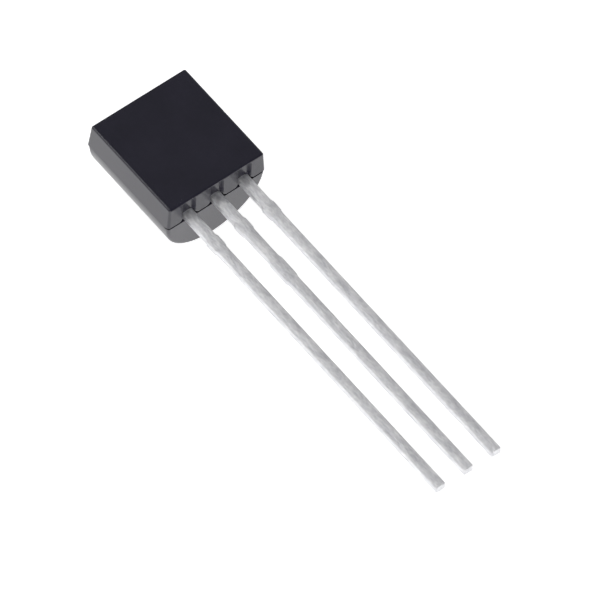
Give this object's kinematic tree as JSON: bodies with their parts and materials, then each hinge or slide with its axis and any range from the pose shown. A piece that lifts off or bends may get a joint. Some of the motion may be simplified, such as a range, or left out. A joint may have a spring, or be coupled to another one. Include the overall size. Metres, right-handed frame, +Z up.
{
  "type": "to-92 transistor",
  "caption": "Small transistor in a black half-round moulded package with a flat front and long straight tinned leads in one row.",
  "frame": {"origin": "the middle of the bottom of the part's box, on the surface that it lies on", "axes": "+Z up, +Y from the lead tips towards the package, +X across the leads. The part lies on its round back with its flat face up and its lead tips on the same surface, so the package leans by 8.5 degrees"},
  "size_m": [0.0044, 0.0194, 0.0039],
  "materials": {
    "mould_compound": "satin black epoxy, fine moulded grain",
    "tinned_lead": "bright tin plating, lightly uneven",
    "silicon": "polished grey silicon",
    "silver_epoxy": "matt silver-filled epoxy",
    "gold_wire": "bright gold"
  },
  "bodies": {
    "root": {"moulded_body": "mould_compound", "lead_left": "tinned_lead", "lead_middle": "tinned_lead", "lead_right": "tinned_lead", "silicon_die": "silicon", "die_attach": "silver_epoxy", "bond_wire_left": "gold_wire", "bond_wire_right": "gold_wire"}
  },
  "joints": []
}
